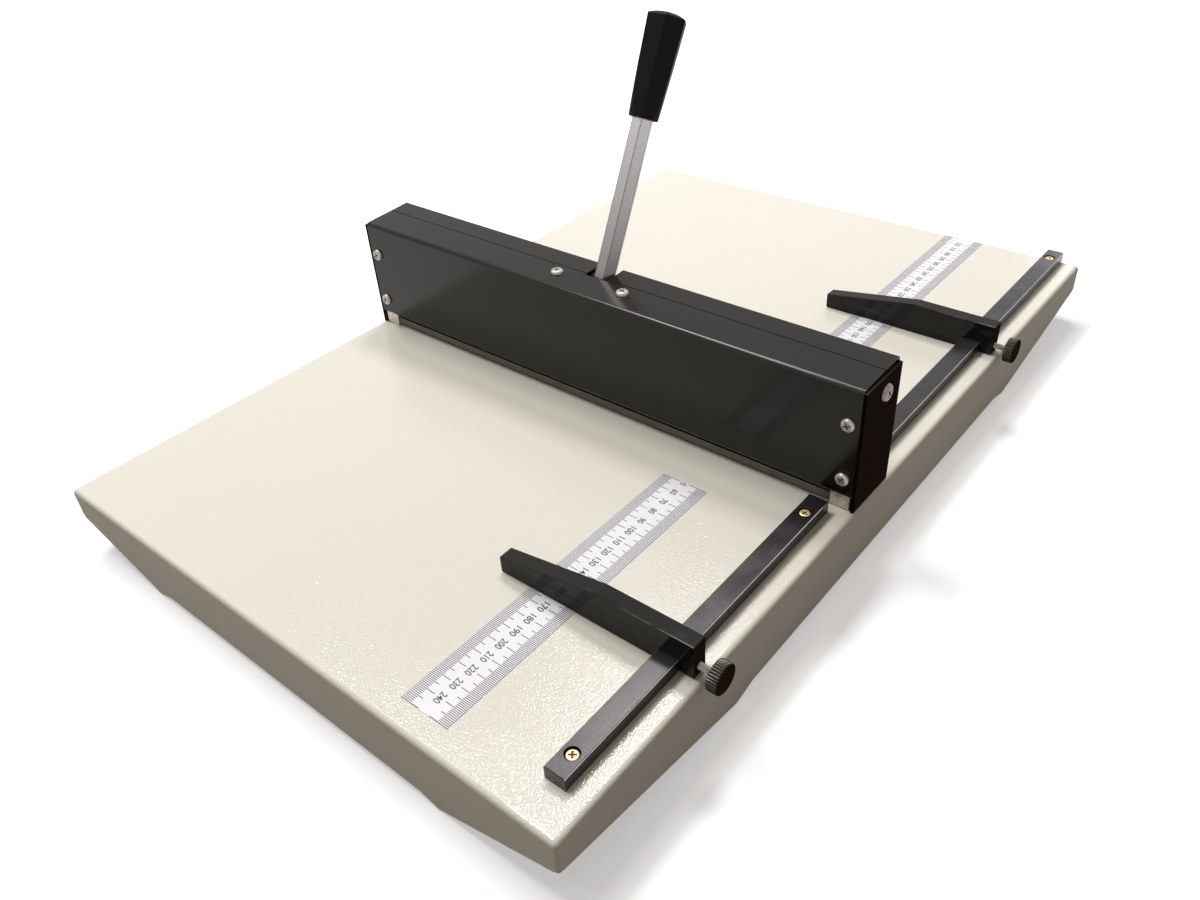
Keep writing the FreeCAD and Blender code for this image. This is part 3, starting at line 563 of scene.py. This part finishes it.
builders = {
    "table_white": buildTablePaint,
    "head_black": buildHeadPaint,
    "stop_black": buildStopPaint,
    "black_plastic": buildPlastic(gripPlastic),
    "rail_grey": buildRailCoat,
    "polished_steel": buildRodSteel,
    "ruler_white": buildRulerStrip,
    **{slotName: buildMetal(metal) for slotName, metal in metals.items()},
    **{slotName: buildSoft(skin) for slotName, skin in softSkins.items()},
}
finishes = {slotName: newFinish(slotName, build) for slotName, build in builders.items()}
knobFinish = newFinish("knob_plastic", buildPlastic(knobPlastic), "black_plastic")
postFinish = newFinish("plated_posts", buildPlating, "machined_steel")
plateScrewFinish = newFinish("plate_screws", buildMetal(plateScrewMetal), "zinc_screws")
plateFinish = newFinish("end_plate_black", buildPlatePaint, "head_black")
rulerInkFinish = newFinish("ruler_ink", buildRulerInk, "ruler_white")
nodeFinishes = {"left_end_plate": plateFinish, "right_end_plate": plateFinish,
                "left_post": postFinish, "right_post": postFinish}
for part in frame["record"]["subparts"]:
    finish = nodeFinishes.get(part["node"], finishes[part["material_slot"]])
    materials = frame["nodes"][part["node"]].data.materials
    materials.clear()
    materials.append(finish["material"])
print("finishes on", len(frame["nodes"]), "nodes")

# roundness is the power k of the head's top: flat in the middle and steep at the rim
panHead = {"head": 8, "height": 2.2, "thread": 4, "length": 9, "recess": 2.15, "wing": 0.42,
           "depth": 1.35, "roundness": 6}
plateHead = {**panHead, "head": 10, "thread": 5, "length": 11, "recess": 2.5, "wing": 0.46}
railHead = {**panHead, "head": 7, "height": 3, "length": 7, "recess": 1.9, "wing": 0.45,
            "depth": 1.3, "roundness": 9}
# each screw of a set stands turned this many degrees further than the one before
screwShape = {"columns": 96, "turn": 37, "crossRows": 26, "crossMargin": 0.25, "rimRows": 7,
              "rimStart": 0.93, "rimShares": (0.96, 0.98, 0.992, 1.0), "rimHeight": 0.18,
              "tip": 1, "tipNarrower": 0.6, "wingEdge": 0.16, "crossEdge": 0.2,
              "crossTaper": 0.45, "sharpAngle": 30}


def screwPoints(kind):
    # top: height = H (1 - (r/R)^k)^(1/2), less a cross recess that is deepest in the middle;
    # then straight down to the seat, in to the thread and along it to a flat end
    outer, shank = kind["head"] / 2, kind["thread"] / 2
    crossReach = kind["recess"] + screwShape["crossMargin"]
    inTop = np.concatenate([
        np.linspace(0, crossReach, screwShape["crossRows"]),
        np.linspace(crossReach, outer * screwShape["rimStart"], screwShape["rimRows"])[1:],
        outer * np.array(screwShape["rimShares"]),
    ])
    crown = kind["height"] * np.sqrt(np.clip(1 - (inTop / outer) ** kind["roundness"], 0, 1))
    crown = np.maximum(crown, kind["height"] * screwShape["rimHeight"])
    below = [(outer, 0), (shank, 0), (shank, screwShape["tip"] - kind["length"]),
             (shank - screwShape["tipNarrower"], -kind["length"]), (0, -kind["length"])]
    profile = np.concatenate([np.stack([inTop, crown], axis=1), below])
    points = turned(profile, screwShape["columns"])
    rows = len(inTop)
    x, y = points[:rows, :, 0], points[:rows, :, 1]
    fromAxis = np.hypot(x, y)
    nearest = np.minimum(np.abs(x), np.abs(y))
    inCross = (softStep(kind["wing"] - nearest, screwShape["wingEdge"])
               * softStep(kind["recess"] - fromAxis, screwShape["crossEdge"]))
    taper = 1 - screwShape["crossTaper"] * fromAxis / kind["recess"]
    points[:rows, :, 2] -= inCross * kind["depth"] * taper
    recess = np.zeros(points.shape[:2])
    recess[:rows] = inCross
    return points, recess.ravel()


coverScrewX, headHalfDepth = 182.5, 19.5
screwSets = {
    "front_cover_screw_heads": {
        "kind": panHead, "finish": finishes["zinc_screws"], "up": (0, -1, 0), "side": (1, 0, 0),
        "seats": [(x, -headHalfDepth, z) for x in (-coverScrewX, coverScrewX)
                  for z in (55.2, 20.2)],
        "node": "front_cover_screws"},
    "rear_cover_screw_heads": {
        "kind": panHead, "finish": finishes["zinc_screws"], "up": (0, 1, 0), "side": (1, 0, 0),
        "seats": [(x, headHalfDepth, 55.2) for x in (-coverScrewX, coverScrewX)],
        "node": "rear_cover_screws"},
    "top_cover_screw_heads": {
        "kind": panHead, "finish": finishes["zinc_screws"], "up": (0, 0, 1), "side": (1, 0, 0),
        "seats": [(x, -4.6, 77.876) for x in (-25.5, 25.5)],
        "node": "top_cover_screws"},
    "left_plate_screw_head": {
        "kind": plateHead, "finish": plateScrewFinish, "up": (-1, 0, 0), "side": (0, 1, 0),
        "seats": [(-190.8, 3, 66)], "node": "end_plate_screws"},
    "right_plate_screw_head": {
        "kind": plateHead, "finish": plateScrewFinish, "up": (1, 0, 0), "side": (0, 1, 0),
        "seats": [(190.8, 3, 66)], "node": "end_plate_screws"},
    "rail_screw_heads": {
        "kind": railHead, "finish": finishes["brass_screws"], "up": (0, 0, 1), "side": (1, 0, 0),
        "seats": [(railMiddle, y, 4.2) for y in (-230.8, -40.8, 41, 319.2)],
        "node": "rail_screws"},
}


def makeScrews(name, screws):
    up, side, seats = screws["up"], screws["side"], screws["seats"]
    points, recess = screwPoints(screws["kind"])
    grids = []
    for index, seat in enumerate(seats):
        turn = math.radians(screwShape["turn"] * (index + 1))
        across = np.array(side) * math.cos(turn) + np.cross(up, side) * math.sin(turn)
        grids.append(stood(points, at(*seat), up, across))
    makeTurned(name, grids, "base", screws["finish"], screwShape["sharpAngle"],
               [screws["node"]], np.tile(recess, len(seats)))


for name, screws in screwSets.items():
    makeScrews(name, screws)
print("screws")

# heights run along the lever from its shaft; the edges are rounded for radii of about
# lowWidth and highWidth, and blend is the sharpness of the change from cone to flats
grip = {"low": 118.1, "high": 175, "dome": 2.7, "roundLow": 8.95, "roundSlope": 0.096,
        "flatLow": 8.95, "flatHigh": 11.05, "sides": 6, "blend": 14.0, "edge": 0.7,
        "lowWidth": 10, "highWidth": 12, "columns": 180, "rows": 70, "edgeRows": 6,
        "domeRows": 14, "domeStart": 0.98, "sharpAngle": 50}
leverAxis = at(0, 0, 54.5)
leanAngle = math.radians(leverLean)
leverUp = (0, math.sin(leanAngle), math.cos(leanAngle))


def gripRadius(height, angle):
    # the smaller of a cone and a six-sided taper, blended over a short way where they meet:
    # cone = a + b h, taper = (c + d h) / cos(angle from the middle of its side)
    share = (height - grip["low"]) / (grip["high"] - grip["low"])
    cone = grip["roundLow"] + grip["roundSlope"] * (height - grip["low"])
    side = 2 * math.pi / grip["sides"]
    fromMiddle = (angle % side) - side / 2
    flat = (grip["flatLow"] + (grip["flatHigh"] - grip["flatLow"]) * share) / np.cos(fromMiddle)
    blend = grip["blend"]
    return -np.logaddexp(-blend * cone, -blend * flat) / blend


def makeGrip():
    # the profile's first number is a share of the full radius, with the edge rounded off;
    # dome: height = top + D (1 - share^2)
    low, high, edge = grip["low"], grip["high"], grip["edge"]
    lowShare, highShare = edge / grip["lowWidth"], edge / grip["highWidth"]
    turns = np.linspace(0, math.pi / 2, grip["edgeRows"])
    side = [(1.0, height) for height in np.linspace(low + edge, high - edge, grip["rows"])]
    lowEdge = [(1 - lowShare * (1 - math.sin(t)), low + edge * (1 - math.cos(t)))
               for t in turns[:-1]]
    highEdge = [(1 - highShare * (1 - math.cos(t)), high - edge * (1 - math.sin(t)))
                for t in turns[1:]]
    rim = highEdge[-1][0]
    dome = [(rim * share, high + grip["dome"] * (1 - share ** 2))
            for share in np.linspace(grip["domeStart"], 0, grip["domeRows"])]
    profile = [(0, low)] + lowEdge + side + highEdge + dome

    def radiusAt(share, height, angle):
        return share * gripRadius(np.clip(height, low, high), angle)

    points = turned(profile, grip["columns"], radiusAt)
    makeTurned("lever_grip_moulding", [stood(points, leverAxis, leverUp, (1, 0, 0))], "lever",
               finishes["black_plastic"], grip["sharpAngle"], ["lever_grip"])


makeGrip()
print("grip")

clampHeight = 5.5
knob = {"radius": 8.1, "start": 195.8, "width": 6, "ridges": 32, "depth": 0.55, "edge": 0.55,
        "edgeRows": 5, "backRim": 0.6, "hollow": 0.25, "faceShares": (0.9, 0.86, 0.6, 0.3, 0),
        "ridgeStart": 0.1, "ridgeFade": 0.6, "columnsPerRidge": 10, "sharpAngle": 40}
stud = {"radius": 2, "pitch": 0.7, "depth": 0.28, "start": 179.5, "end": 199.8, "plain": 0.4,
        "fade": 0.8, "rowsPerPitch": 8, "columns": 28, "sharpAngle": 60}


def makeOnClamp(name, side, y, start, points, finish, sharpAngle, node):
    # along X from its start, at the height of the thumb screw's axis
    grid = stood(points, at(start, y, clampHeight), (1, 0, 0), (0, 1, 0))
    makeTurned(name, [grid], f"{side}_clamp", finish, sharpAngle, [node])


def makeKnob(side, y):
    # r = R - d (1 - |cos(n a / 2)|): round valleys between narrow ridges, over the rim only;
    # the face is hollowed by h (1 - (r/R)^2)
    radius, edge, width = knob["radius"], knob["edge"], knob["width"]
    turns = np.linspace(0, math.pi / 2, knob["edgeRows"])
    back = [(0, 0), (stud["radius"], 0), (radius - edge - knob["backRim"], 0)]
    backEdge = [(radius - edge * (1 - math.sin(t)), edge * (1 - math.cos(t))) for t in turns]
    frontEdge = [(radius - edge * (1 - math.cos(t)), width - edge * (1 - math.sin(t)))
                 for t in turns]
    face = [(radius * share, width - knob["hollow"] * (1 - share ** 2))
            for share in knob["faceShares"]]

    def ridged(r, height, angle):
        valley = knob["depth"] * (1 - np.abs(np.cos(knob["ridges"] * angle / 2)))
        return r - valley * softStep(r - radius + edge + knob["ridgeStart"], knob["ridgeFade"])

    points = turned(back + backEdge + frontEdge + face,
                    knob["ridges"] * knob["columnsPerRidge"], ridged)
    makeOnClamp(f"{side}_clamp_knob_knurled", side, y, knob["start"], points, knobFinish,
                knob["sharpAngle"], f"{side}_clamp_knob")


def makeStud(side, y):
    # a thread: r = R - d w, where w rises and falls once a pitch along x - pitch a / 2 pi,
    # and is full at both ends
    length = stud["end"] - stud["start"]
    rows = int(length / stud["pitch"] * stud["rowsPerPitch"])
    shank = [(stud["radius"], height) for height in np.linspace(0, length, rows)]
    plain, fade = stud["plain"], stud["fade"]

    def threaded(r, height, angle):
        turn = height / stud["pitch"] - angle / (2 * math.pi)
        wave = np.abs((turn % 1) * 2 - 1)
        cut = softStep(height - plain, fade) * softStep(length - plain - height, fade)
        return r - np.where(r > 0, stud["depth"] * (wave * cut + 1 - cut), 0)

    points = turned([(0, 0)] + shank + [(0, length)], stud["columns"], threaded)
    makeOnClamp(f"{side}_clamp_stud_threaded", side, y, stud["start"], points,
                finishes["zinc_screws"], stud["sharpAngle"], f"{side}_clamp_stud")


for side, y in stopPlaces.items():
    makeKnob(side, y)
    makeStud(side, y)
print("thumb screws")

# near and far are a strip's ends, in millimetres from the crease line; cutDigit is what is
# left of the number that the head's side of the strip cuts off
ruler = {"width": 30, "thickness": 0.3, "ink": 0.02, "line": 0.42, "shortTick": 6.3,
         "fiveTick": 9, "tenTick": 11.5, "numberStep": 10, "endMargin": 4, "numberHeight": 4,
         "digitWidth": 2.3, "digitGap": 0.4, "bold": 0.014, "extrude": 0.05, "cutPlace": 51.15}
rulerStrips = {
    "front": {"middle": 101.9, "near": 49.9, "far": 250.3, "sense": -1, "firstNumber": 60,
              "cutDigit": "0"},
    "rear": {"middle": 103.4, "near": 49.9, "far": 331, "sense": 1, "firstNumber": 60,
             "cutDigit": "5"},
}
boxFaces = np.array([(0, 2, 3, 1), (4, 5, 7, 6), (0, 1, 5, 4), (2, 6, 7, 3), (0, 4, 6, 2),
                     (1, 3, 7, 5)])


def tickBoxes(strip):
    # a thin block for each millimetre on both long edges: x from the edge inwards,
    # y half a line to either side of the millimetre, z from the strip up
    whole = np.arange(math.ceil(strip["near"]), math.floor(strip["far"]) + 1)
    reach = np.where(whole % 10 == 0, ruler["tenTick"],
                     np.where(whole % 5 == 0, ruler["fiveTick"], ruler["shortTick"]))
    half = ruler["width"] / 2
    low, high = ruler["thickness"], ruler["thickness"] + ruler["ink"]
    boxes = []
    for edge in (-1, 1):
        inner, outer = strip["middle"] + edge * (half - reach), strip["middle"] + edge * half
        left, right = np.minimum(inner, outer), np.maximum(inner, outer)
        middle = strip["sense"] * whole
        corners = [(x, middle + side * ruler["line"] / 2, z)
                   for z in (low, high) for side in (-1, 1) for x in (left, right)]
        boxes.append(np.stack([np.stack(np.broadcast_arrays(*corner), axis=-1)
                               for corner in corners], axis=1))
    return np.concatenate(boxes)


def makeTicks(name, strip):
    boxes = tickBoxes(strip)
    vertices = crease + boxes.reshape(-1, 3) * mm
    faces = (boxFaces[None] + 8 * np.arange(len(boxes))[:, None, None]).reshape(-1, 4)
    makeSurface(f"{name}_ruler_ticks", vertices, faces, "base", rulerInkFinish)


def numberMesh(label):
    # the label as a mesh, from a text object that is removed again
    text = bpy.data.curves.new("number", "FONT")
    text.body = label
    text.extrude = ruler["extrude"]
    text.offset = ruler["bold"]
    holder = bpy.data.objects.new("number", text)
    bpy.context.scene.collection.objects.link(holder)
    bpy.context.view_layer.update()
    shape = bpy.data.meshes.new_from_object(
        holder.evaluated_get(bpy.context.evaluated_depsgraph_get()))
    bpy.data.objects.remove(holder)
    return shape


def makeNumbers(name, strip):
    # each number reads away from the crease along the strip, with its top towards the rail;
    # its box is stretched to the size wanted and centred on its place
    lastPlace = int(strip["far"]) - ruler["endMargin"]
    labels = [(strip["cutDigit"], ruler["cutPlace"])]
    labels += [(str(ten), ten)
               for ten in range(strip["firstNumber"], lastPlace, ruler["numberStep"])]
    mesh = bpy.data.meshes.new(f"{name}_ruler_numbers")
    joined = bmesh.new()
    for label, place in labels:
        shape = numberMesh(label)
        points = np.empty(len(shape.vertices) * 3)
        shape.vertices.foreach_get("co", points)
        points = points.reshape(-1, 3)
        low, high = points.min(axis=0), points.max(axis=0)
        size = np.array([ruler["digitWidth"] * len(label) - ruler["digitGap"],
                         ruler["numberHeight"], ruler["ink"]])
        local = (points - low) / (high - low) * size - size / 2
        placed = np.stack([strip["middle"] + local[:, 1], strip["sense"] * place - local[:, 0],
                           ruler["thickness"] + ruler["ink"] / 2 + local[:, 2]], axis=1)
        shape.vertices.foreach_set("co", (crease + placed * mm).ravel())
        joined.from_mesh(shape)
        bpy.data.meshes.remove(shape)
    cleanMesh(joined, mesh)
    addPiece(f"{name}_ruler_numbers", mesh, "base", rulerInkFinish)


for name, strip in rulerStrips.items():
    makeTicks(name, strip)
    makeNumbers(name, strip)
print("ruler print")

stage = {"floorHalf": 6.0, "floorWhite": (0.86, 0.86, 0.86), "floorDim": (0.13, 0.108, 0.086),
         "floorRoughness": 0.9, "glow": 0.42, "ambient": (1.0, 0.88, 0.8),
         "ambientStrength": 0.2}


def backgroundRays(shader):
    # 1 for rays that see the background: from the camera, in reflections and through glass
    camera, glossy, through = (shader.add("ShaderNodeLightPath", output=ray) for ray in (
        "Is Camera Ray", "Is Glossy Ray", "Is Transmission Ray"))
    return (camera + glossy + through).least(1)


def makeFloor():
    half = stage["floorHalf"]
    mesh = bpy.data.meshes.new("floor")
    mesh.from_pydata([(-half, -half, 0), (half, -half, 0), (half, half, 0), (-half, half, 0)],
                     [], [(0, 1, 2, 3)])
    floor = bpy.data.objects.new("floor", mesh)
    bpy.context.scene.collection.objects.link(floor)
    material = bpy.data.materials.new("floor")
    material.use_nodes = True
    nodes = material.node_tree.nodes
    shader = Shader(material.node_tree)
    surface = nodes["Principled BSDF"]
    shader.fill(surface, {"Base Color": (*stage["floorWhite"], 1),
                          "Roughness": stage["floorRoughness"], "Specular IOR Level": 0.0,
                          "Emission Color": (1, 1, 1, 1), "Emission Strength": stage["glow"]})
    # the object itself is lit by a dimmer floor than the background shows
    dim = shader.add("ShaderNodeBsdfDiffuse", None, {"Color": (*stage["floorDim"], 1)})
    both = shader.add("ShaderNodeMixShader", None, {
        0: backgroundRays(shader), 1: dim, 2: Wire(shader, surface.outputs[0])})
    shader.fill(nodes["Material Output"], {"Surface": both})
    mesh.materials.append(material)


def makeWorld():
    world = bpy.data.worlds.new("studio")
    world.use_nodes = True
    bpy.context.scene.world = world
    world.node_tree.nodes.clear()
    shader = Shader(world.node_tree)
    ambient = shader.add("ShaderNodeBackground", None, {
        "Color": (*stage["ambient"], 1), "Strength": stage["ambientStrength"]})
    white = shader.add("ShaderNodeBackground", None, {"Color": (1, 1, 1, 1), "Strength": 1.0})
    both = shader.add("ShaderNodeMixShader", None, {
        0: backgroundRays(shader), 1: ambient, 2: white})
    shader.fill(world.node_tree.nodes.new("ShaderNodeOutputWorld"), {"Surface": both})


# places and sizes in metres, powers in watts
lamps = {
    "ceiling": {"place": (-1.5, -0.15, 3.0), "aim": (0, 0, 0.05), "size": (1.5, 0.8),
                "power": 70},
    "rear": {"place": (0.1, 3.2, 1.0), "aim": (0, 0.2, 0.05), "size": (1.2, 0.6), "power": 14},
    "panel": {"place": (-0.405, 0.70, 1.708), "aim": (-0.405, 0.70, 0), "size": (0.55, 0.42),
              "power": 14},
    "strip": {"place": (-0.7, -1.1, 1.5), "aim": (-0.7, 0, 0.1), "size": (1.2, 0.05),
              "power": 1.6},
}


def makeLamps():
    for name, lamp in lamps.items():
        light = bpy.data.lights.new(name, "AREA")
        light.shape = "RECTANGLE"
        light.size, light.size_y = lamp["size"]
        light.energy = lamp["power"]
        holder = bpy.data.objects.new(name, light)
        bpy.context.scene.collection.objects.link(holder)
        place = Vector(lamp["place"])
        holder.location = place
        holder.rotation_euler = (Vector(lamp["aim"]) - place).to_track_quat("-Z", "Y").to_euler()


camera = {"place": (0.35485, -0.44477, 0.39733), "aim": (0.03803, -0.08783, 0.044),
          "roll": 3.995, "lens": 29.86, "sensor": 36, "clipStart": 0.01}


def makeCamera():
    # aimed level first, then rolled about its own axis
    view = bpy.data.cameras.new("camera")
    view.lens = camera["lens"]
    view.sensor_width = camera["sensor"]
    view.clip_start = camera["clipStart"]
    holder = bpy.data.objects.new("camera", view)
    bpy.context.scene.collection.objects.link(holder)
    place = Vector(camera["place"])
    level = (Vector(camera["aim"]) - place).to_track_quat("-Z", "Y").to_matrix()
    turn = Matrix.Rotation(math.radians(-camera["roll"]), 3, "Z")
    holder.matrix_world = Matrix.Translation(place) @ (level @ turn).to_4x4()
    bpy.context.scene.camera = holder


makeFloor()
makeWorld()
makeLamps()
makeCamera()
bpy.context.scene.view_settings.view_transform = "Standard"
print("stage, lamps and camera")
